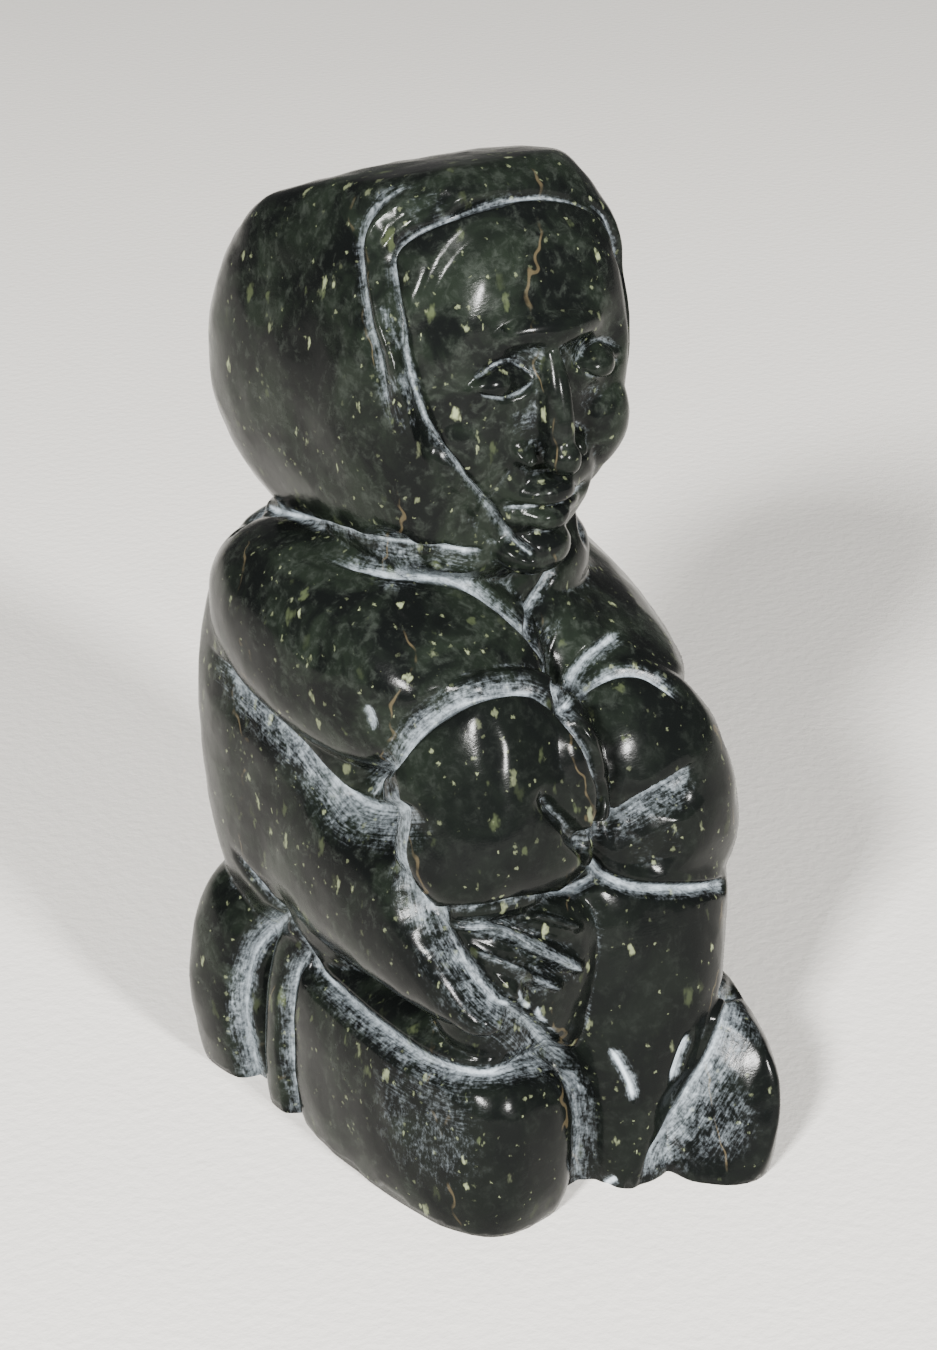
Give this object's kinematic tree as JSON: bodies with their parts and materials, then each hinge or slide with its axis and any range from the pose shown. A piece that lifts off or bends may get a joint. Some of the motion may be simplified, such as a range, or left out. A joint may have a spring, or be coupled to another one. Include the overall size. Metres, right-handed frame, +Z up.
{
  "type": "kneeling figure statuette",
  "caption": "Statuette carved from dark stone: a hooded figure kneels and holds a tapering animal, head down, between its knees.",
  "frame": {"origin": "on the table, under the middle of the carving's footprint", "axes": "+Z up, the figure faces -Y, and its right hand is towards -X"},
  "size_m": [0.0744, 0.1004, 0.16],
  "materials": {
    "dark_stone": "polished dark green serpentine with fine light flecks, and whitish dust in the cut lines"
  },
  "bodies": {
    "root": {"kneeling_figure": "dark_stone"}
  },
  "joints": []
}
